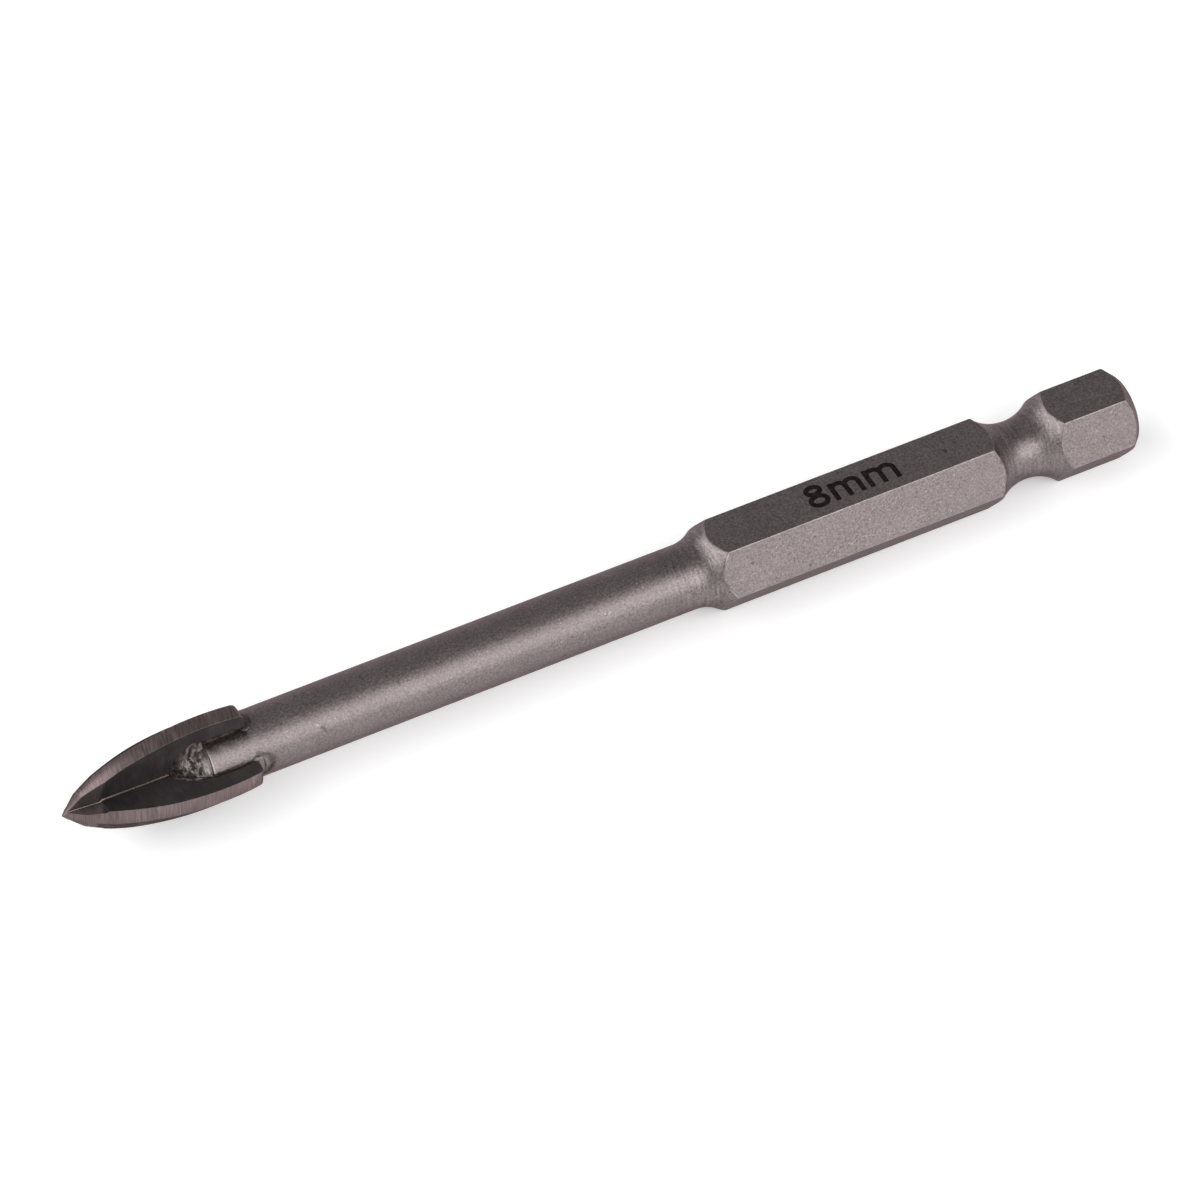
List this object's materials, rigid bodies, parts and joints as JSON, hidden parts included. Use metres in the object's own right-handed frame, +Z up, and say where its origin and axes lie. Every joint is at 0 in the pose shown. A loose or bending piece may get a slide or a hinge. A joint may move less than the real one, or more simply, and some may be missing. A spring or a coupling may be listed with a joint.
{
  "type": "glass and tile drill bit",
  "caption": "Drill bit for glass and tile: cross-shaped carbide spear head brazed into a round steel shank that ends in a hex quick-change drive with a ball groove.",
  "frame": {"origin": "on the bit's axis, at the middle of the drive end face of the hex shank", "axes": "X along the bit's axis, from the point (-X) to the drive end; +Z up, the outward normal of one flat of the hex"},
  "size_m": [0.088, 0.0078, 0.0078],
  "materials": {
    "steel": "blasted satin steel with faint turning marks",
    "carbide": "dark sintered carbide with ground lands",
    "braze": "stained braze alloy"
  },
  "bodies": {
    "root": {"steel_shank": "steel", "carbide_head": "carbide", "braze_film": "braze"}
  },
  "joints": []
}
